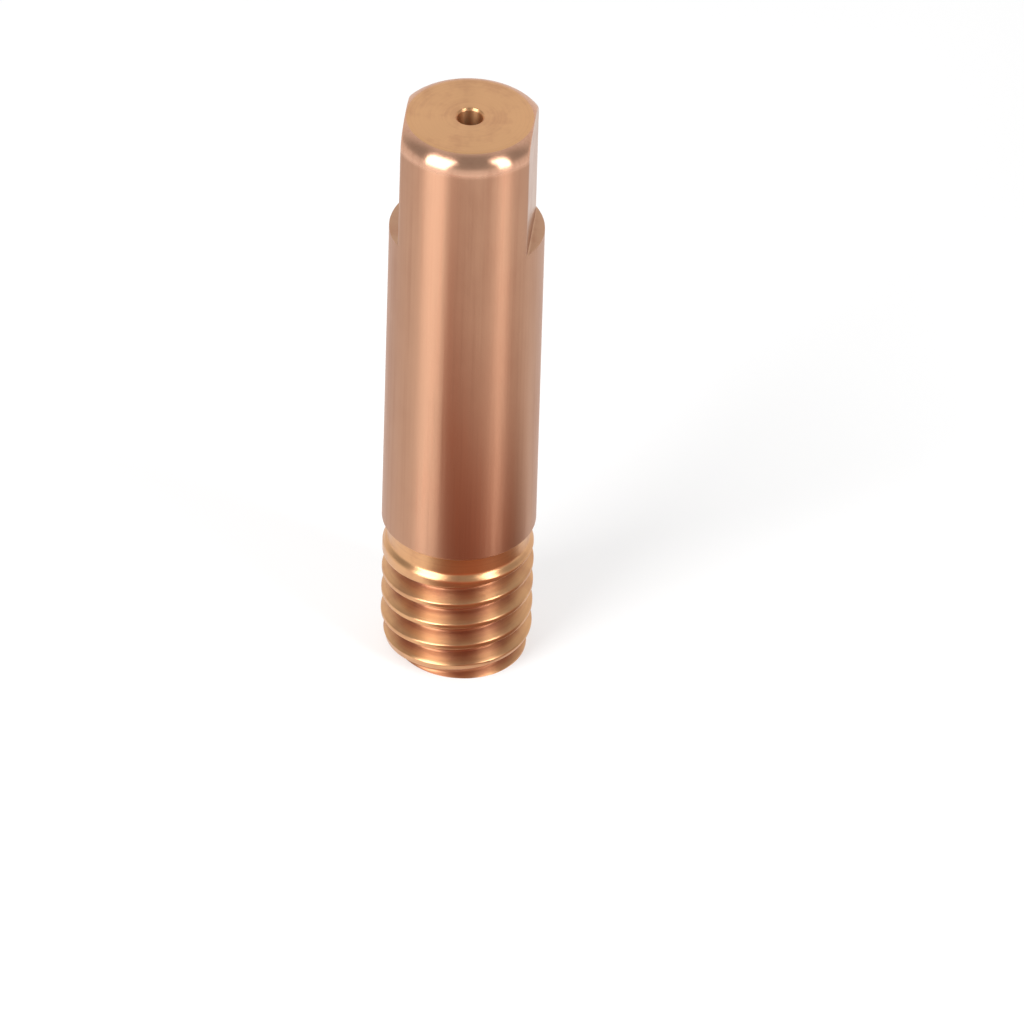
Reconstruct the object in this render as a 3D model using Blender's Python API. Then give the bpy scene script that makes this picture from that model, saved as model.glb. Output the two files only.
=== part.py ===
"""Contact tip for a gas-shielded welding torch, M6 x 25: one piece turned from copper rod.

It stands on its threaded end. The origin is the centre of that end's flat face, and +Z runs
along the wire bore to the nose. The two spanner flats face +X and -X. Lengths are in metres.
"""

import math

import bmesh
import bpy

MM = 0.001

# Body: drawn rod, faced and rounded at the nose
OVERALL_LENGTH = 25.0 * MM
BODY_DIAMETER = 6.0 * MM
NOSE_ROUNDING = 0.7 * MM
SHOULDER_CHAMFER = 0.12 * MM

# Spanner flats: a pair milled at the nose
ACROSS_FLATS = 5.0 * MM
FLAT_LENGTH = 5.2 * MM

# Thread: M6 x 1 at the rear, cut in a seat a little under the nominal size
THREAD_DIAMETER = 6.0 * MM
THREAD_PITCH = 1.0 * MM
CREST_ALLOWANCE = 0.1 * MM
THREAD_LENGTH = 5.1 * MM
END_TAPER_LENGTH = 0.9 * MM
END_TAPER_DEPTH = 0.35 * MM
RUNOUT_TURNS = 0.6
THREAD_START_DEGREES = 200.0

# Neck between thread and body
NECK_LENGTH = 0.8 * MM
NECK_DEPTH = 0.2 * MM

# Bore for the welding wire, with a funnel at the rear where the wire comes in
WIRE_DIAMETER = 0.8 * MM
WIRE_CLEARANCE = 0.2 * MM
ENTRY_DIAMETER = 2.4 * MM
ENTRY_CONE_DEGREES = 60.0
BORE_EDGE_BREAK = 0.08 * MM

# ISO metric thread form, with its depths as shares of the pitch
THREAD_DEPTH_SHARE = 0.6134
PITCH_LINE_SHARE = 0.3248
FLANK_DEGREES = 30.0

# How finely curves are cut into facets, and how far cutters stand out of the metal
STEPS_PER_TURN = 72
ROUNDING_STEPS = 6
MILL_MARGIN = 1.0 * MM
CREST_MARGIN = 0.06 * MM
SHARP_DEGREES = 20.0

# What follows from the sizes above
BODY_RADIUS = BODY_DIAMETER / 2
BODY_START = THREAD_LENGTH + NECK_LENGTH
CREST_RADIUS = (THREAD_DIAMETER - CREST_ALLOWANCE) / 2
ROOT_RADIUS = THREAD_DIAMETER / 2 - THREAD_DEPTH_SHARE * THREAD_PITCH
PITCH_LINE_RADIUS = THREAD_DIAMETER / 2 - PITCH_LINE_SHARE * THREAD_PITCH
NECK_RADIUS = CREST_RADIUS - NECK_DEPTH
BORE_RADIUS = (WIRE_DIAMETER + WIRE_CLEARANCE) / 2
ENTRY_RADIUS = ENTRY_DIAMETER / 2
ENTRY_DEPTH = (ENTRY_RADIUS - BORE_RADIUS) / math.tan(math.radians(ENTRY_CONE_DEGREES / 2))


def clear_scene():
    for obj in list(bpy.data.objects):
        bpy.data.objects.remove(obj)


def copper(name, colour, roughness):
    """A bare metal: its base colour is the colour of its reflections."""
    material = bpy.data.materials.new(name)
    material.use_nodes = True
    shader = material.node_tree.nodes["Principled BSDF"]
    shader.inputs["Base Color"].default_value = (*colour, 1.0)
    shader.inputs["Metallic"].default_value = 1.0
    shader.inputs["Roughness"].default_value = roughness
    return material


def add_object(name, mesh, material):
    mesh.materials.append(material)
    obj = bpy.data.objects.new(name, mesh)
    bpy.context.scene.collection.objects.link(obj)
    return obj


def add_cutter(name, bm, material):
    """A helper that a Boolean cuts with. It isn't rendered."""
    mesh = bpy.data.meshes.new(name)
    bm.to_mesh(mesh)
    bm.free()
    cutter = add_object(name, mesh, material)
    cutter.hide_render = True
    cutter.display_type = "WIRE"
    return cutter


def nose_rounding():
    """The quarter circle from the nose face down to the side of the body."""
    centre_radius = BODY_RADIUS - NOSE_ROUNDING
    centre_height = OVERALL_LENGTH - NOSE_ROUNDING
    points = []
    for step in range(ROUNDING_STEPS + 1):
        angle = math.pi / 2 * step / ROUNDING_STEPS
        radius = centre_radius + NOSE_ROUNDING * math.sin(angle)
        height = centre_height + NOSE_ROUNDING * math.cos(angle)
        points.append((radius, height))
    return points


def turned_profile():
    """Radius and height from the nose down the outside of the piece, then back up its bore."""
    return [
        (BORE_RADIUS + BORE_EDGE_BREAK, OVERALL_LENGTH),
        *nose_rounding(),
        (BODY_RADIUS, BODY_START + SHOULDER_CHAMFER),
        (BODY_RADIUS - SHOULDER_CHAMFER, BODY_START),
        (NECK_RADIUS, BODY_START),
        (NECK_RADIUS, THREAD_LENGTH),
        (CREST_RADIUS, THREAD_LENGTH - NECK_DEPTH),
        (CREST_RADIUS, END_TAPER_LENGTH),
        (CREST_RADIUS - END_TAPER_DEPTH, 0.0),
        (ENTRY_RADIUS, 0.0),
        (BORE_RADIUS, ENTRY_DEPTH),
        (BORE_RADIUS, OVERALL_LENGTH - BORE_EDGE_BREAK),
    ]


def turned_blank(material):
    """The rod as it leaves the lathe: its half section, turned about the Z axis."""
    points = [(radius, 0.0, height) for radius, height in turned_profile()]
    edges = [(i, (i + 1) % len(points)) for i in range(len(points))]
    mesh = bpy.data.meshes.new("contact_tip")
    mesh.from_pydata(points, edges, [])
    blank = add_object("contact_tip", mesh, material)
    turn = blank.modifiers.new("turn", "SCREW")
    turn.axis = "Z"
    turn.angle = math.tau
    turn.steps = STEPS_PER_TURN
    turn.render_steps = STEPS_PER_TURN
    return blank


def flats_cutter(material):
    """The metal that the mill takes off: a block on the +X side, mirrored to the -X side."""
    inner = ACROSS_FLATS / 2
    outer = BODY_RADIUS + MILL_MARGIN
    low = OVERALL_LENGTH - FLAT_LENGTH
    high = OVERALL_LENGTH + MILL_MARGIN
    bm = bmesh.new()
    bmesh.ops.create_cube(bm, size=2 * outer)
    for vert in bm.verts:
        vert.co.x = outer if vert.co.x > 0 else inner
        vert.co.z = high if vert.co.z > 0 else low
    cutter = add_cutter("flats_cutter", bm, material)
    other_side = cutter.modifiers.new("other side", "MIRROR")
    other_side.merge_threshold = 0.00001
    return cutter


def groove_half_width(radius):
    """Half the width of the thread's groove at a radius. The groove is a V with a flat bottom."""
    flank_slope = math.tan(math.radians(FLANK_DEGREES))
    return THREAD_PITCH / 4 + (radius - PITCH_LINE_RADIUS) * flank_slope


def groove_section(bm, turns, lift):
    """The groove's four corners after this many turns from a pitch below the end face."""
    angle = math.radians(THREAD_START_DEGREES) + turns * math.tau
    centre = (turns - 1) * THREAD_PITCH
    mouth = CREST_RADIUS + CREST_MARGIN
    verts = []
    for radius, side in ((ROOT_RADIUS, -1), (mouth, -1), (mouth, 1), (ROOT_RADIUS, 1)):
        height = centre + side * groove_half_width(radius)
        x = (radius + lift) * math.cos(angle)
        y = (radius + lift) * math.sin(angle)
        verts.append(bm.verts.new((x, y, height)))
    return verts


def thread_cutter(material):
    """The metal that the die takes off: a helical groove, lifting out of the metal at the neck."""
    last_turn = THREAD_LENGTH / THREAD_PITCH + 1
    clear_of_crest = CREST_RADIUS + CREST_MARGIN - ROOT_RADIUS
    bm = bmesh.new()
    sections = []
    for step in range(round(last_turn * STEPS_PER_TURN) + 1):
        turns = step / STEPS_PER_TURN
        runout = max(0.0, 1 - (last_turn - turns) / RUNOUT_TURNS)
        sections.append(groove_section(bm, turns, runout * clear_of_crest))
    for near, far in zip(sections, sections[1:]):
        for i, vert in enumerate(near):
            bm.faces.new((vert, far[i], far[i - 1], near[i - 1]))
    bm.faces.new(sections[0])
    bm.faces.new(sections[-1])
    bmesh.ops.recalc_face_normals(bm, faces=bm.faces)
    return add_cutter("thread_cutter", bm, material)


def cut(obj, cutter):
    """Cuts one shape out of another. The cut faces take the cutter's material."""
    step = obj.modifiers.new(cutter.name, "BOOLEAN")
    step.operation = "DIFFERENCE"
    step.solver = "EXACT"
    step.object = cutter
    step.material_mode = "TRANSFER"


def apply_modifiers(obj):
    graph = bpy.context.evaluated_depsgraph_get()
    mesh = bpy.data.meshes.new_from_object(obj.evaluated_get(graph))
    obj.modifiers.clear()
    obj.data = mesh
    mesh.name = obj.name


def shade(obj):
    """Turned surfaces look round, and the edges between them stay crisp."""
    obj.data.shade_smooth()
    obj.data.set_sharp_from_angle(angle=math.radians(SHARP_DEGREES))


def main():
    clear_scene()
    drawn = copper("drawn copper", (0.86, 0.52, 0.35), 0.22)
    machined = copper("machined copper", (0.84, 0.47, 0.24), 0.34)
    tip = turned_blank(drawn)
    cutters = [flats_cutter(machined), thread_cutter(machined)]
    for cutter in cutters:
        cut(tip, cutter)
    apply_modifiers(tip)
    for cutter in cutters:
        bpy.data.objects.remove(cutter)
    shade(tip)


main()
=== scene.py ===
"""The looks of a copper contact tip: fine geometry, bare copper finishes, floor, lamps and camera."""

import math

import bmesh
import bpy
import numpy as np
from mathutils import Matrix, Vector


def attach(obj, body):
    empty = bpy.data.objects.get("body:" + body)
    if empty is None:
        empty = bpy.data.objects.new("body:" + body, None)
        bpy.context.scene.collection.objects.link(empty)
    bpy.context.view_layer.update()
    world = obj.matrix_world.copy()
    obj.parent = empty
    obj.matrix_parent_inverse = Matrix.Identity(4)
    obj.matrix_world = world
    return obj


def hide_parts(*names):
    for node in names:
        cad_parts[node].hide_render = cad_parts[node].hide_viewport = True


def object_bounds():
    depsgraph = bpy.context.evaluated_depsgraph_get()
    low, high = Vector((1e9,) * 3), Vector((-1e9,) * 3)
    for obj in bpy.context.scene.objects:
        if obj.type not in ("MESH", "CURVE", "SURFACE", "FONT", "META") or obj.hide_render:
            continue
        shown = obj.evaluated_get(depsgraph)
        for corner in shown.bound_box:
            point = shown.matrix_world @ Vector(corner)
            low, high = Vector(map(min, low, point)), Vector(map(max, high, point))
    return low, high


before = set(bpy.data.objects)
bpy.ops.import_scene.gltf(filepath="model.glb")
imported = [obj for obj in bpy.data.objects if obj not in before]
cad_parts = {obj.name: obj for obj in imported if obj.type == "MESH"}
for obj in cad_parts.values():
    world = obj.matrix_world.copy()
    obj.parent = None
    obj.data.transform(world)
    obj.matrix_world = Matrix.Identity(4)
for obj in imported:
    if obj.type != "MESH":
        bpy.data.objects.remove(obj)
CAD_LOW, CAD_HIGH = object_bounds()

bl_info = {
    "name": "Copper contact tip",
    "version": (1, 0, 0),
    "blender": (4, 5, 0),
    "location": "3D View > Sidebar > Contact Tip",
    "description": "Makes a turned and threaded copper contact tip, with a plain stage to show it on",
    "category": "Add Mesh",
}

MM = 0.001
BODY = "root"
CAD_NODE = "contact_tip"

# ISO metric thread form, with its depths as shares of the pitch
THREAD_DEPTH_SHARE = 0.6134
PITCH_LINE_SHARE = 0.3248
FLANK_ANGLE = math.radians(30)

# How softly surfaces meet at the thread and at the edges of the flats
SOFTNESS = 0.03 * MM
FLAT_SOFTNESS = 0.05 * MM

# How the metal is cut into rows and columns
THREAD_COLUMNS = 288
THREAD_START_TURN = -0.55
THREAD_SPARE_TURNS = 1.1
SEAM_SHARE = 0.4
ARC_STEPS = 30
FOOT_ROWS = 12
FILLET_STEPS = 6
ROW_GAP = 0.002 * MM
FLAT_PLAY = 0.15 * MM
EDGE_PLAY = math.radians(0.9)
SHARP_ANGLE = math.radians(40)

# Where a finish, a painted highlight and painted shade change on the tip, in millimetres up the axis or out
# from it
POLISH_AND_HIGHLIGHT_RISE = (24.1, 24.4)
THREAD_END = (5.0, 5.2)
ROOT_TO_CREST = (2.42, 2.86)
BORE_EDGE = (0.50, 0.58)

# Where the room and the floor change: parts of the view's direction, and millimetres from the tip
ROOM_DEPTH = (0.0, 0.75)
HORIZON_RISE = (0.08, 0.25)
FLOOR_FADE = (26.0, 90.0)
FLOOR_HALF = 2.0
PLAIN_WHITE = (1.0, 1.0, 1.0, 1.0)

# Softboxes: how tall and far they are, in metres, and how high above the floor's level they stand
SOFTBOX_HEIGHT = 0.16
SOFTBOX_DISTANCE = 0.16
SOFTBOX_RISE = math.radians(31)

# The card's edges and fold, from the tip's axis, and its height above the floor
CARD_NEAR = 3.2 * MM
CARD_FOLD = 12.0 * MM
CARD_LEFT = -22.0 * MM
CARD_RIGHT = 22.0 * MM
CARD_LIFT = 0.1 * MM


def metres(name, description, default):
    """A size that a user may change, in metres."""
    return bpy.props.FloatProperty(
        name=name, description=description, default=default, min=0.0, unit="LENGTH", precision=5
    )


def colour(name, description, default):
    return bpy.props.FloatVectorProperty(
        name=name, description=description, default=default, min=0.0, max=1.0, subtype="COLOR", size=3
    )


def share(name, description, default):
    return bpy.props.FloatProperty(
        name=name, description=description, default=default, min=0.0, max=1.0, subtype="FACTOR"
    )


def angle(name, description, degrees):
    return bpy.props.FloatProperty(
        name=name, description=description, default=math.radians(degrees), subtype="ANGLE"
    )


def number(name, description, default):
    return bpy.props.FloatProperty(name=name, description=description, default=default)


class ContactTipShape(bpy.types.PropertyGroup):
    """Sizes of the metal, apart from those that the frame gives."""

    length: metres("Length", "From the threaded end to the nose", CAD_HIGH.z - CAD_LOW.z)
    body_diameter: metres("Body diameter", "Across the plain round body", CAD_HIGH.x - CAD_LOW.x)
    nose_rounding: metres("Nose rounding", "Radius round the nose face", 0.7 * MM)
    across_flats: metres("Across flats", "Between the two spanner flats", 5.0 * MM)
    flat_length: metres("Flat length", "Length of the flats from the nose", 5.2 * MM)
    flat_fillet: metres("Flat fillet", "Left by the cutter's corner at the foot of a flat", 0.07 * MM)
    thread_diameter: metres("Thread diameter", "Nominal diameter of the thread", 6.0 * MM)
    crest_allowance: metres("Crest allowance", "How far the crests are under the nominal size", 0.1 * MM)
    thread_pitch: metres("Thread pitch", "Rise of the thread in one turn", 1.0 * MM)
    thread_length: metres("Thread length", "From the end face to the neck", 5.1 * MM)
    end_taper_length: metres("End taper length", "Taper that leads the thread in", 0.9 * MM)
    end_taper_depth: metres("End taper depth", "How far the taper goes below the crests", 0.35 * MM)
    neck_length: metres("Neck length", "From the thread to the body", 0.8 * MM)
    neck_depth: metres("Neck depth", "How far the neck is cut below the crests", 0.2 * MM)
    shoulder_chamfer: metres("Shoulder chamfer", "Chamfer at the body's lower edge", 0.12 * MM)
    bore_diameter: metres("Bore diameter", "Hole for the wire", 1.0 * MM)
    bore_break: metres("Bore edge break", "Small chamfer at the bore's mouth in the nose", 0.08 * MM)
    entry_diameter: metres("Entry diameter", "Mouth of the funnel where the wire comes in", 2.4 * MM)
    entry_cone: angle("Entry cone", "Angle of the funnel, from side to side", 60.0)
    edge_radius: metres("Edge radius", "Softness of the turned edges", 0.04 * MM)
    runout: number("Run-out", "Turns over which the die lifts out of the metal", 0.6)
    thread_start: angle("Thread start", "Where the groove starts round the axis", 200.0)


class ContactTipFinish(bpy.types.PropertyGroup):
    """Colours and roughness of the three kinds of surface, and a painted highlight on the nose."""

    drawn: colour("Drawn copper", "Body, as the rod was drawn", (0.515, 0.281, 0.177))
    turned: colour("Turned copper", "Nose, neck and thread, fresh from the lathe", (0.68, 0.375, 0.185))
    milled: colour("Milled copper", "Spanner flats", (0.51, 0.295, 0.185))
    # Oxide film and blotches; in the thread's roots the same colour is also painted shade
    oxide_and_root_shade: colour("Oxide", "Thin film in hollows and blotches", (0.39, 0.16, 0.095))
    # Lighter colour on the nose rounding: a painted highlight that whitens the nose glints and lightens the
    # gap between them
    painted_nose_highlight: colour("Polished nose", "Rounding at the nose, rubbed bright", (0.68, 0.39, 0.26))
    drawn_roughness: share("Drawn roughness", "Roughness of the body", 0.345)
    turned_roughness: share("Turned roughness", "Roughness of the turned surfaces", 0.31)
    milled_roughness: share("Milled roughness", "Roughness of the flats", 0.30)


class ContactTipStage(bpy.types.PropertyGroup):
    """Camera, lamps, room, floor, and the card that paints a reflection in the copper."""

    azimuth: angle("Azimuth", "Camera's turn round the tip, from the front", 5.4)
    elevation: angle("Elevation", "Camera's height above the floor", 36.65)
    roll: angle("Roll", "Camera's tilt about its own line of sight", 1.7)
    lens: bpy.props.FloatProperty(name="Lens", description="Focal length", default=800.0, unit="CAMERA")
    field: metres("Field", "Width of what the camera sees at the tip", 39.9 * MM)
    base_left: metres("Base to the left", "From the picture's centre to the foot of the axis", 2.2 * MM)
    base_below: metres("Base below", "From the picture's centre down to the foot of the axis", 4.895 * MM)
    floor_colour: colour("Floor", "Plain pale floor", (0.96, 0.96, 0.96))
    floor_glow: share("Floor glow", "Share of plain white that the floor shows beside the tip", 0.45)
    lamp_strength: number("Lamps", "Radiance of the two softboxes", 6.3)
    room_front: share("Room in front", "Radiance of the room on the camera's side", 0.40)
    room_back: share("Room behind", "Radiance of the room behind the tip", 0.95)
    horizon: share("Horizon", "Radiance of the pale band where the room meets the floor", 1.0)
    # The card's colours glow without any lamp: a painted reflection, in the copper, of a second tip and its
    # shaded floor
    card_near: colour("Card, near", "Folded card on the floor, next to the tip", (0.28, 0.15, 0.11))
    card_fold: colour("Card, fold", "The same card where it turns up", (0.58, 0.17, 0.09))
    card_top: colour("Card, top", "The same card where it fades out", (0.62, 0.33, 0.25))
    card_height: metres("Card height", "Height at which the card fades out at its middle", 7.6 * MM)
    card_slope: number("Card slope", "Fall of the card's faded edge towards the right", 0.24)
    card_turn: angle("Card turn", "Turn of the card round the tip, from the camera", 32.0)


# Geometry of the metal


def soft_min(a, b, softness=SOFTNESS):
    """The lesser of two sizes, rounded where they cross."""
    return (a + b - np.sqrt((a - b) ** 2 + softness**2)) / 2


def soft_max(a, b, softness=SOFTNESS):
    return (a + b + np.sqrt((a - b) ** 2 + softness**2)) / 2


def crest_radius(shape):
    return (shape.thread_diameter - shape.crest_allowance) / 2


def root_radius(shape):
    return shape.thread_diameter / 2 - THREAD_DEPTH_SHARE * shape.thread_pitch


def groove_half_width(shape, radius):
    pitch_line = shape.thread_diameter / 2 - PITCH_LINE_SHARE * shape.thread_pitch
    return shape.thread_pitch / 4 + (radius - pitch_line) * math.tan(FLANK_ANGLE)


def groove_rows(shape):
    """Offsets along the axis across one pitch, close together where the thread's section bends."""
    root = groove_half_width(shape, root_radius(shape))
    crest = groove_half_width(shape, crest_radius(shape))
    bend = 1.4 * SOFTNESS
    stops = (0.0, root - bend, root + bend, crest - bend, crest + bend, shape.thread_pitch / 2)
    steps = (1, 4, 4, 4, 1)
    half = [0.0]
    for low, high, count in zip(stops, stops[1:], steps):
        half.extend(np.linspace(low, high, count + 1)[1:])
    half = np.array(half)
    return np.concatenate([-half[:0:-1], half[:-1]])


def blank_radius(shape, height):
    """The end as turned, before threading: taper, cylinder, cone down to the neck."""
    crest = crest_radius(shape)
    cone_start = shape.thread_length - shape.neck_depth
    slope = shape.end_taper_depth / shape.end_taper_length
    radius = soft_min(crest, crest - shape.end_taper_depth + height * slope)
    radius = soft_min(radius, crest - (height - cone_start))
    return soft_max(radius, crest - shape.neck_depth)


def thread_radius(shape, offset, height, lift):
    """Radius of the threaded end, at an offset along the axis from the middle of the groove."""
    root = root_radius(shape)
    root_half = groove_half_width(shape, root)
    flank = root + (np.abs(offset) - root_half) / math.tan(FLANK_ANGLE)
    groove = soft_max(root, flank, 2 * SOFTNESS) + lift
    return soft_min(groove, blank_radius(shape, height))


def seam_height(shape):
    """Where the threaded end joins the rest, near the middle of the neck."""
    return shape.thread_length + shape.neck_length * SEAM_SHARE


def add_thread(bm, shape):
    """The threaded end as one winding strip, whose rows follow the thread, trimmed at both ends."""
    pitch = shape.thread_pitch
    offsets = groove_rows(shape)
    rows = len(offsets)
    turns = seam_height(shape) / pitch + THREAD_SPARE_TURNS
    columns = round(turns * THREAD_COLUMNS)
    turn = THREAD_START_TURN + np.arange(columns + 1) / THREAD_COLUMNS
    last_turn = shape.thread_length / pitch
    lifted = np.clip(1 - (last_turn - turn) / shape.runout, 0, 1)
    lift = lifted * (crest_radius(shape) - root_radius(shape) + 2 * SOFTNESS)
    heights = turn[:, None] * pitch + offsets
    radii = thread_radius(shape, offsets, heights, lift[:, None])
    angles = shape.thread_start + turn * math.tau
    x = radii * np.cos(angles)[:, None]
    y = radii * np.sin(angles)[:, None]
    verts = [bm.verts.new(co) for co in np.stack([x, y, heights], axis=2).reshape(-1, 3)]
    for column in range(columns):
        for row in range(rows):
            here = column * rows + row
            above = here + 1
            if row == rows - 1:
                above = (column + THREAD_COLUMNS) * rows
            if above + rows < len(verts):
                bm.faces.new((verts[here], verts[here + rows], verts[above + rows], verts[above]))
    for height, side in ((0.0, -1), (seam_height(shape), 1)):
        geometry = [*bm.verts, *bm.edges, *bm.faces]
        bmesh.ops.bisect_plane(
            bm,
            geom=geometry,
            dist=1e-9,
            plane_co=(0, 0, height),
            plane_no=(0, 0, side),
            clear_outer=True,
        )


def rounded(corners):
    """An outline through these corners, each with its own rounding, as points on lines and arcs."""
    points = []
    for i, (radius, height, rounding) in enumerate(corners):
        corner = np.array((radius, height))
        if rounding == 0:
            points.append(corner)
            continue
        before = np.array(corners[i - 1][:2]) - corner
        after = np.array(corners[i + 1][:2]) - corner
        before /= np.linalg.norm(before)
        after /= np.linalg.norm(after)
        half = math.acos(np.clip(before @ after, -1, 1)) / 2
        middle = (before + after) / np.linalg.norm(before + after)
        centre = corner + middle * rounding / math.sin(half)
        start = corner + before * rounding / math.tan(half) - centre
        end = corner + after * rounding / math.tan(half) - centre
        sweep = math.pi - 2 * half
        finer = 1.5 * rounding / MM + 0.3
        count = max(2, math.ceil(ARC_STEPS * sweep / (math.pi / 2) * finer))
        for step in range(count + 1):
            t = step / count * sweep
            points.append(centre + (start * math.sin(sweep - t) + end * math.sin(t)) / math.sin(sweep))
    return points


def outline(shape):
    """Radius and height from the neck up the body, over the nose and down the bore."""
    body = shape.body_diameter / 2
    bore = shape.bore_diameter / 2
    entry = shape.entry_diameter / 2
    neck = crest_radius(shape) - shape.neck_depth
    shoulder = shape.thread_length + shape.neck_length
    edge = shape.edge_radius
    funnel = (entry - bore) / math.tan(shape.entry_cone / 2)
    return rounded(
        [
            (neck, seam_height(shape) + edge, 0),
            (neck, shoulder, edge),
            (body - shape.shoulder_chamfer, shoulder, edge),
            (body, shoulder + shape.shoulder_chamfer, edge),
            (body, shape.length, shape.nose_rounding),
            (bore + shape.bore_break, shape.length, edge),
            (bore, shape.length - shape.bore_break, edge),
            (bore, funnel, 2 * edge),
            (entry, 0.0, edge),
            (root_radius(shape) - 2 * edge, 0.0, 0),
        ]
    )


def flat_rows(shape):
    """Height, and distance of the flats' planes from the axis, up the foot of a flat."""
    face = shape.across_flats / 2
    foot = shape.length - shape.flat_length
    fillet = shape.flat_fillet
    body = shape.body_diameter / 2
    rows = []
    for step, plane in enumerate(np.linspace(body + FLAT_PLAY, face + fillet, FOOT_ROWS)):
        rows.append((foot + step * ROW_GAP, plane))
    start = rows[-1][0]
    for t in np.linspace(0, math.pi / 2, FILLET_STEPS + 1)[1:]:
        rows.append((start + fillet * (1 - math.cos(t)), face + fillet * (1 - math.sin(t))))
    return rows


def turned_rows(shape):
    """Rows of the unthreaded part: radius, height and distance of the flats' planes."""
    foot = shape.length - shape.flat_length
    clear = shape.body_diameter
    body = shape.body_diameter / 2
    rows = []
    points = outline(shape)
    for (radius, height), (_, next_height) in zip(points, [*points[1:], points[-1]]):
        on_flat = height > foot
        rows.append((radius, height, shape.across_flats / 2 if on_flat else clear))
        if height < foot < next_height:
            rows.extend((body, z, clear) for z in np.arange(height + MM, foot - MM / 2, MM))
            rows.append((body, foot - ROW_GAP, clear))
            rows.extend((body, z, plane) for z, plane in flat_rows(shape))
            top = rows[-1][1]
            rows.extend(
                (body, z, shape.across_flats / 2) for z in np.linspace(top, next_height, 8)[1:-1]
            )
    return rows


def ring_angles(shape):
    """Angles of the columns, close together at the edges of the flats."""
    edge = math.acos(shape.across_flats / shape.body_diameter)
    quadrant = np.concatenate(
        [
            np.linspace(0, edge - EDGE_PLAY, 52, endpoint=False),
            np.linspace(edge - EDGE_PLAY, edge + EDGE_PLAY, 6, endpoint=False),
            np.linspace(edge + EDGE_PLAY, math.pi / 2, 36, endpoint=False),
        ]
    )
    half = np.concatenate([quadrant, [math.pi / 2], math.pi - quadrant[:0:-1]])
    return np.concatenate([half, half + math.pi])


def add_turned(bm, shape):
    """The unthreaded part. Gives its first and last ring, which meet the thread's two rims."""
    angles = ring_angles(shape)
    across = np.maximum(np.abs(np.cos(angles)), 0.05)
    rings = []
    for radius, height, plane in turned_rows(shape):
        cut = soft_min(radius + FLAT_SOFTNESS / 8, plane / across, FLAT_SOFTNESS)
        radii = np.minimum(radius, cut)
        ring = []
        for a, r in zip(angles, radii):
            ring.append(bm.verts.new((r * math.cos(a), r * math.sin(a), height)))
        rings.append(ring)
    for low, high in zip(rings, rings[1:]):
        for i, vert in enumerate(low):
            bm.faces.new((low[i - 1], vert, high[i], high[i - 1]))
    return rings[0], rings[-1]


def turn_of(vert):
    return math.atan2(vert.co.y, vert.co.x) % math.tau


def stitch(bm, lower, upper):
    """Joins two rings of vertices with triangles, each next one to the ring that is behind."""
    lower = sorted(lower, key=turn_of)
    upper = sorted(upper, key=turn_of)
    i = j = 0
    while i < len(lower) or j < len(upper):
        here = (lower[i % len(lower)], upper[j % len(upper)])
        lower_next = turn_of(lower[i + 1]) if i + 1 < len(lower) else math.tau + turn_of(lower[0])
        upper_next = turn_of(upper[j + 1]) if j + 1 < len(upper) else math.tau + turn_of(upper[0])
        if j >= len(upper) or (i < len(lower) and lower_next <= upper_next):
            i += 1
            bm.faces.new((*here, lower[i % len(lower)]))
        else:
            j += 1
            bm.faces.new((*here, upper[j % len(upper)]))


def rim(bm, height):
    """The vertices at the thread's open edge at this height."""
    return [v for v in bm.verts if v.is_boundary and abs(v.co.z - height) < 1e-7]


def sort_finishes(bm, shape):
    """Gives each face its material: 0 drawn, 1 turned, 2 milled."""
    body = shape.body_diameter / 2
    foot = shape.length - shape.flat_length
    drawn_from = shape.thread_length + shape.neck_length + shape.shoulder_chamfer
    drawn_to = shape.length - 0.02 * MM
    for face in bm.faces:
        centre = face.calc_center_median()
        out = centre.xy.length
        if centre.z > foot - ROW_GAP and abs(face.normal.x) > 0.99 and out < body - SOFTNESS:
            face.material_index = 2
        elif foot - ROW_GAP < centre.z < foot + shape.flat_fillet and abs(face.normal.z) > 0.3:
            face.material_index = 2
        elif drawn_from < centre.z < drawn_to and out > shape.bore_diameter:
            face.material_index = 0
        else:
            face.material_index = 1


# Shader nodes


class Wire:
    """A node's output socket. Arithmetic on it adds Math nodes."""

    def __init__(self, finish, socket):
        self.finish = finish
        self.socket = socket

    def math(self, operation, *values):
        return self.finish.node("ShaderNodeMath", {"operation": operation}, *values)

    def output(self, name):
        """Another output of the same node."""
        return Wire(self.finish, self.socket.node.outputs[name])

    def __add__(self, other):
        return self.math("ADD", self, other)

    __radd__ = __add__

    def __sub__(self, other):
        return self.math("SUBTRACT", self, other)

    def __rsub__(self, other):
        return self.math("SUBTRACT", other, self)

    def __mul__(self, other):
        return self.math("MULTIPLY", self, other)

    __rmul__ = __mul__

    def __pow__(self, other):
        return self.math("POWER", self, other)

    def __rpow__(self, other):
        return self.math("POWER", other, self)

    def at_least(self, low):
        return self.math("MAXIMUM", self, low)

    def at_most(self, high):
        return self.math("MINIMUM", self, high)


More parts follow.
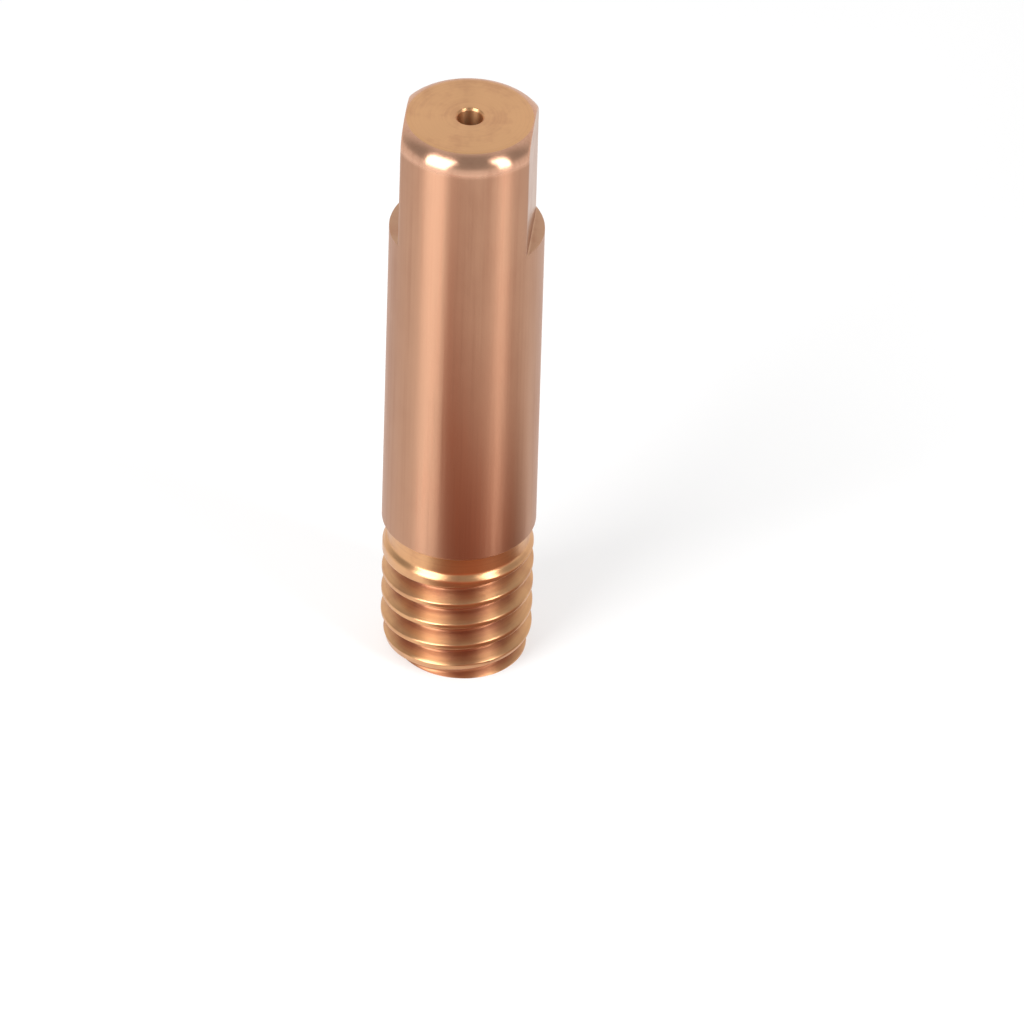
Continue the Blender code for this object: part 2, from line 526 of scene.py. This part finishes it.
class Finish:
    """A material's or world's node tree, filled by calls that give Wires."""

    def __init__(self, owner):
        owner.use_nodes = True
        self.tree = owner.node_tree
        self.tree.nodes.clear()

    def node(self, kind, settings=None, *values, output=0, **named):
        """Adds a node, sets it up, then fills its sockets by place or by name with values or Wires."""
        made = self.tree.nodes.new(kind)
        for name, value in (settings or {}).items():
            setattr(made, name, value)
        for place, value in [*enumerate(values), *named.items()]:
            if isinstance(place, str):
                place = place.replace("_", " ")
            if isinstance(value, Wire):
                self.tree.links.new(value.socket, made.inputs[place])
            elif value is not None:
                made.inputs[place].default_value = value
        return Wire(self, made.outputs[output]) if made.outputs else made

    def parts(self, vector):
        """The three numbers of a vector."""
        split = self.node("ShaderNodeSeparateXYZ", None, vector)
        return [Wire(self, out) for out in split.socket.node.outputs]

    def scaled(self, vector, factors):
        return self.node("ShaderNodeVectorMath", {"operation": "MULTIPLY"}, vector, factors)

    def noise(self, vector, scale, detail=2.0, roughness=0.5):
        return self.node(
            "ShaderNodeTexNoise", None, Vector=vector, Scale=scale, Detail=detail, Roughness=roughness
        )

    def between(self, value, low, high):
        """0 below low, 1 above high, and smooth between."""
        settings = {"interpolation_type": "SMOOTHSTEP", "clamp": True}
        return self.node("ShaderNodeMapRange", settings, value, low, high, 0.0, 1.0)

    def blend(self, factor, first, second):
        """A mix of two colours."""
        made = self.tree.nodes.new("ShaderNodeMix")
        made.data_type = "RGBA"
        ends = {"Factor": factor, "A": first, "B": second}
        for socket in made.inputs:
            if socket.enabled and socket.name in ends:
                value = ends[socket.name]
                if isinstance(value, Wire):
                    self.tree.links.new(value.socket, socket)
                else:
                    socket.default_value = (*value, 1.0) if socket.type == "RGBA" else value
        return Wire(self, next(out for out in made.outputs if out.enabled))

    def millimetres(self):
        """Place on the tip, in millimetres."""
        place = self.node("ShaderNodeTexCoord", None, output="Object")
        return self.scaled(place, (1 / MM, 1 / MM, 1 / MM))

    def bump(self, height, depth):
        """A normal that follows a height from 0 to 1, this many metres deep."""
        return self.node("ShaderNodeBump", None, Strength=1.0, Distance=depth, Height=height)

    def copper(self, base, rough, normal, anisotropy):
        """Bare metal, with highlights stretched along the tip's axis."""
        shader = self.node(
            "ShaderNodeBsdfPrincipled",
            None,
            Base_Color=base,
            Metallic=1.0,
            Roughness=rough,
            Anisotropic=anisotropy,
            Anisotropic_Rotation=0.25,
            Normal=normal,
        )
        self.node("ShaderNodeOutputMaterial", None, Surface=shader)


def drawn_copper(colours):
    """The body: drawn rod with fine lengthwise lines and a faint uneven film; the nose rounding is smoother
    and painted lighter, a painted highlight.
    """
    material = bpy.data.materials.new("drawn copper")
    make = Finish(material)
    place = make.millimetres()
    streak = make.noise(make.scaled(place, (7.0, 7.0, 0.12)), scale=1.0, detail=3.0)
    hair = make.noise(make.scaled(place, (26.0, 26.0, 0.35)), scale=1.0)
    film = make.noise(make.scaled(place, (0.5, 0.5, 0.22)), scale=1.0, detail=3.0, roughness=0.55)
    tint = make.between(film, 0.42, 0.72) * 0.18 + make.between(streak, 0.45, 0.75) * 0.16
    # The nose band is smoother, and its colour is painted lighter there: a painted highlight on the
    # rounding
    polish_and_highlight = make.between(make.parts(place)[2], *POLISH_AND_HIGHLIGHT_RISE)
    bright = make.blend(polish_and_highlight, colours.drawn, colours.painted_nose_highlight)
    base = make.blend(tint, bright, colours.oxide_and_root_shade)
    rough = colours.drawn_roughness + (streak - 0.5) * 0.12 + (film - 0.5) * 0.10 - polish_and_highlight * 0.12
    normal = make.bump(streak * 0.5 + hair * 0.5, depth=0.0016 * MM)
    make.copper(base, rough, normal, anisotropy=0.93)
    return material


def turned_copper(colours):
    """Nose face, bore, neck and thread: rings from the tool, darker in the roots (partly painted shade,
    partly oil residue), duller in the bore.
    """
    material = bpy.data.materials.new("turned copper")
    make = Finish(material)
    place = make.millimetres()
    x, y, z = make.parts(place)
    radius = (x * x + y * y) ** 0.5
    feed = make.node("ShaderNodeCombineXYZ", None, radius, z, 0.0)
    rings = make.noise(make.scaled(feed, (9.0, 9.0, 0.0)), scale=1.0, detail=3.0, roughness=0.7)
    film = make.noise(make.scaled(place, (0.9, 0.9, 0.9)), scale=1.0, detail=3.0, roughness=0.6)
    # The thread's roots go darker towards the oxide colour: partly painted shade, partly oil residue
    root = 1 - make.between(radius, *ROOT_TO_CREST)
    thread = 1 - make.between(z, *THREAD_END)
    root_oil_and_shade = root * thread
    tint = root_oil_and_shade * 0.65 + make.between(film, 0.42, 0.70) * 0.30 + (rings - 0.5) * 0.70
    base = make.blend(tint.at_least(0.0), colours.turned, colours.oxide_and_root_shade)
    bore = 1 - make.between(radius, *BORE_EDGE)
    rough = colours.turned_roughness + root_oil_and_shade * 0.12 + (film - 0.5) * 0.12 + bore * 0.16
    normal = make.bump(rings, depth=0.004 * MM)
    make.copper(base, rough, normal, anisotropy=0.7)
    return material


def milled_copper(colours):
    """The spanner flats: close parallel cutter marks across the flat."""
    material = bpy.data.materials.new("milled copper")
    make = Finish(material)
    place = make.millimetres()
    marks = make.noise(make.scaled(place, (0.2, 0.5, 11.0)), scale=1.0, detail=3.0, roughness=0.6)
    film = make.noise(place, scale=1.1, detail=3.0, roughness=0.6)
    tint = (marks - 0.5) * 0.6 + make.between(film, 0.4, 0.7) * 0.28
    base = make.blend(tint.at_least(0.0), colours.milled, colours.oxide_and_root_shade)
    rough = colours.milled_roughness + (film - 0.5) * 0.12
    normal = make.bump(marks, depth=0.005 * MM)
    make.copper(base, rough, normal, anisotropy=0.4)
    return material


class CONTACT_TIP_OT_metal(bpy.types.Operator):
    """Make the tip: threaded end, neck, body with flats, nose and bore, as one closed mesh"""

    bl_idname = "contact_tip.metal"
    bl_label = "Make the Tip"

    def execute(self, context):
        shape = context.scene.contact_tip_shape
        colours = context.scene.contact_tip_finish
        bm = bmesh.new()
        add_thread(bm, shape)
        end_rim = rim(bm, 0.0)
        neck_rim = rim(bm, seam_height(shape))
        first, last = add_turned(bm, shape)
        stitch(bm, neck_rim, first)
        stitch(bm, end_rim, last)
        bmesh.ops.recalc_face_normals(bm, faces=bm.faces)
        sort_finishes(bm, shape)
        mesh = bpy.data.meshes.new("contact_tip_metal")
        bm.to_mesh(mesh)
        bm.free()
        for make in (drawn_copper, turned_copper, milled_copper):
            mesh.materials.append(make(colours))
        mesh.shade_smooth()
        mesh.set_sharp_from_angle(angle=SHARP_ANGLE)
        tip = bpy.data.objects.new("contact_tip_metal", mesh)
        context.scene.collection.objects.link(tip)
        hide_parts(CAD_NODE)
        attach(tip, BODY)
        return {"FINISHED"}


# Stage


def direction(azimuth, elevation):
    """From the tip towards a place in the room. Azimuth 0 is the front."""
    return Vector(
        (
            math.sin(azimuth) * math.cos(elevation),
            -math.cos(azimuth) * math.cos(elevation),
            math.sin(elevation),
        )
    )


def add_softbox(name, azimuth, width, radiance):
    """A rectangular lamp that faces the tip and gives this radiance from its whole face."""
    lamp = bpy.data.lights.new(name, "AREA")
    lamp.shape = "RECTANGLE"
    lamp.size = width
    lamp.size_y = SOFTBOX_HEIGHT
    lamp.energy = radiance * math.pi * width * SOFTBOX_HEIGHT
    obj = bpy.data.objects.new(name, lamp)
    bpy.context.scene.collection.objects.link(obj)
    towards = direction(math.radians(azimuth), SOFTBOX_RISE)
    obj.location = Vector((0, 0, 0.5 * CAD_HIGH.z)) + towards * SOFTBOX_DISTANCE
    obj.rotation_euler = (-towards).to_track_quat("-Z", "Y").to_euler()
    obj.visible_camera = False


def add_room(scene, stage):
    """A plain room, darker on the camera's side, with a pale band at the horizon."""
    world = bpy.data.worlds.new("room")
    make = Finish(world)
    way = make.node("ShaderNodeTexCoord", None, output="Generated")
    _, depth, rise = make.parts(way)
    room = stage.room_front + make.between(depth, *ROOM_DEPTH) * (stage.room_back - stage.room_front)
    band = 1 - make.between(rise, *HORIZON_RISE)
    level = room + band * (stage.horizon - room)
    light = make.node("ShaderNodeBackground", None, Color=PLAIN_WHITE, Strength=level)
    make.node("ShaderNodeOutputWorld", None, Surface=light)
    scene.world = world


def add_floor(scene, stage):
    """A pale floor that keeps the tip's shadow and shows plain white far from it."""
    mesh = bpy.data.meshes.new("floor")
    bm = bmesh.new()
    bmesh.ops.create_grid(bm, x_segments=1, y_segments=1, size=FLOOR_HALF)
    bm.to_mesh(mesh)
    bm.free()
    material = bpy.data.materials.new("floor")
    make = Finish(material)
    paint = make.node("ShaderNodeBsdfDiffuse", None, Color=(*stage.floor_colour, 1.0))
    glow = make.node("ShaderNodeEmission", None, Color=PLAIN_WHITE, Strength=stage.horizon)
    x, y, _ = make.parts(make.millimetres())
    far = make.between((x * x + y * y) ** 0.5, *FLOOR_FADE)
    plain = stage.floor_glow + far * (1 - stage.floor_glow)
    light = make.node("ShaderNodeLightPath")
    seen = light.output("Is Camera Ray") + light.output("Is Glossy Ray")
    seen = seen + light.output("Is Transmission Ray")
    mixed = make.node("ShaderNodeMixShader", None, plain * seen.at_most(1.0), paint, glow)
    make.node("ShaderNodeOutputMaterial", None, Surface=mixed)
    mesh.materials.append(material)
    floor = bpy.data.objects.new("floor", mesh)
    scene.collection.objects.link(floor)
    floor.location.z = CAD_LOW.z


def card_mesh(stage):
    """A strip that lies on the floor in front of the tip, then turns up."""
    bm = bmesh.new()
    lines = []
    for out, height in ((CARD_NEAR, CARD_LIFT), (CARD_FOLD, CARD_LIFT), (CARD_FOLD, 2 * stage.card_height)):
        lines.append([bm.verts.new((x, -out, height)) for x in (CARD_LEFT, CARD_RIGHT)])
    for low, high in zip(lines, lines[1:]):
        bm.faces.new((low[0], low[1], high[1], high[0]))
    mesh = bpy.data.meshes.new("card")
    bm.to_mesh(mesh)
    bm.free()
    return mesh


def card_painted_reflection(stage):
    """Glowing brown tones, a painted reflection of a second copper tip and the shaded floor beside it, that
    change up the card and fade out at its top and both its sides.
    """
    material = bpy.data.materials.new("card")
    make = Finish(material)
    x, y, z = make.parts(make.millimetres())
    along = z - y - CARD_NEAR / MM
    upright = (CARD_FOLD - CARD_NEAR) / MM
    turning = make.between(along, upright - 2.5, upright + 1.0)
    low = make.blend(turning, stage.card_near, stage.card_fold)
    top = stage.card_height / MM
    level = z + x * stage.card_slope
    tone = make.blend(make.between(level, 2.0, top - 1.5), low, stage.card_top)
    glow = make.node("ShaderNodeEmission", None, Color=tone, Strength=1.0)
    clear = make.node("ShaderNodeBsdfTransparent")
    left, right = CARD_LEFT / MM, CARD_RIGHT / MM
    shown = make.between(x, left, left + 5) * (1 - make.between(x, right - 12, right))
    above = make.between(level, top - 2.0, top + 1.0) * make.between(z, 0.0, 1.0)
    shown = shown * (1 - above)
    mixed = make.node("ShaderNodeMixShader", None, shown, clear, glow)
    make.node("ShaderNodeOutputMaterial", None, Surface=mixed)
    return material


def add_card(scene, stage):
    """A folded, glowing brown card in front of the tip: a painted reflection of a second copper tip and the
    shaded floor beside it. The copper mirrors it, and the camera doesn't see it.
    """
    mesh = card_mesh(stage)
    mesh.materials.append(card_painted_reflection(stage))
    card = bpy.data.objects.new("card", mesh)
    scene.collection.objects.link(card)
    card.rotation_euler.z = stage.azimuth + stage.card_turn
    card.visible_camera = False
    card.visible_diffuse = False
    card.visible_shadow = False
    card.visible_transmission = False


def add_camera(scene, stage):
    """A long lens, so that the tip's sides stay parallel, with the tip off the picture's centre."""
    data = bpy.data.cameras.new("camera")
    data.lens = stage.lens
    data.clip_start = 0.01
    camera = bpy.data.objects.new("camera", data)
    scene.collection.objects.link(camera)
    back = direction(stage.azimuth, stage.elevation)
    turn = (-back).to_track_quat("-Z", "Y").to_matrix() @ Matrix.Rotation(stage.roll, 3, "Z")
    right, up = turn.col[0], turn.col[1]
    aim = right * stage.base_left + up * stage.base_below
    distance = stage.field * data.lens / data.sensor_width
    camera.location = aim + back * distance
    camera.rotation_euler = turn.to_euler()
    scene.camera = camera


class CONTACT_TIP_OT_stage(bpy.types.Operator):
    """Set up the floor, the room, two softboxes, the card and the camera"""

    bl_idname = "contact_tip.stage"
    bl_label = "Set the Stage"

    def execute(self, context):
        scene = context.scene
        stage = scene.contact_tip_stage
        add_floor(scene, stage)
        add_room(scene, stage)
        for name, azimuth, width in (("softbox left", -40, 0.09), ("softbox right", 57, 0.045)):
            add_softbox(name, azimuth, width, stage.lamp_strength)
        add_card(scene, stage)
        add_camera(scene, stage)
        scene.view_settings.view_transform = "Standard"
        return {"FINISHED"}


class VIEW3D_PT_contact_tip(bpy.types.Panel):
    """Sizes, finishes and the stage of the contact tip"""

    bl_idname = "VIEW3D_PT_contact_tip"
    bl_label = "Contact Tip"
    bl_space_type = "VIEW_3D"
    bl_region_type = "UI"
    bl_category = "Contact Tip"

    def draw(self, context):
        scene = context.scene
        groups = (scene.contact_tip_shape, scene.contact_tip_finish, scene.contact_tip_stage)
        for group in groups:
            column = self.layout.column()
            for name in group.__annotations__:
                column.prop(group, name)
        self.layout.operator(CONTACT_TIP_OT_metal.bl_idname)
        self.layout.operator(CONTACT_TIP_OT_stage.bl_idname)


CLASSES = (
    ContactTipShape,
    ContactTipFinish,
    ContactTipStage,
    CONTACT_TIP_OT_metal,
    CONTACT_TIP_OT_stage,
    VIEW3D_PT_contact_tip,
)


def register():
    for cls in CLASSES:
        bpy.utils.register_class(cls)
    bpy.types.Scene.contact_tip_shape = bpy.props.PointerProperty(type=ContactTipShape)
    bpy.types.Scene.contact_tip_finish = bpy.props.PointerProperty(type=ContactTipFinish)
    bpy.types.Scene.contact_tip_stage = bpy.props.PointerProperty(type=ContactTipStage)


def unregister():
    del bpy.types.Scene.contact_tip_stage
    del bpy.types.Scene.contact_tip_finish
    del bpy.types.Scene.contact_tip_shape
    for cls in reversed(CLASSES):
        bpy.utils.unregister_class(cls)


def main():
    """Makes the stage and the tip."""
    register()
    bpy.ops.contact_tip.stage()
    bpy.ops.contact_tip.metal()


if __name__ == "__main__":
    main()
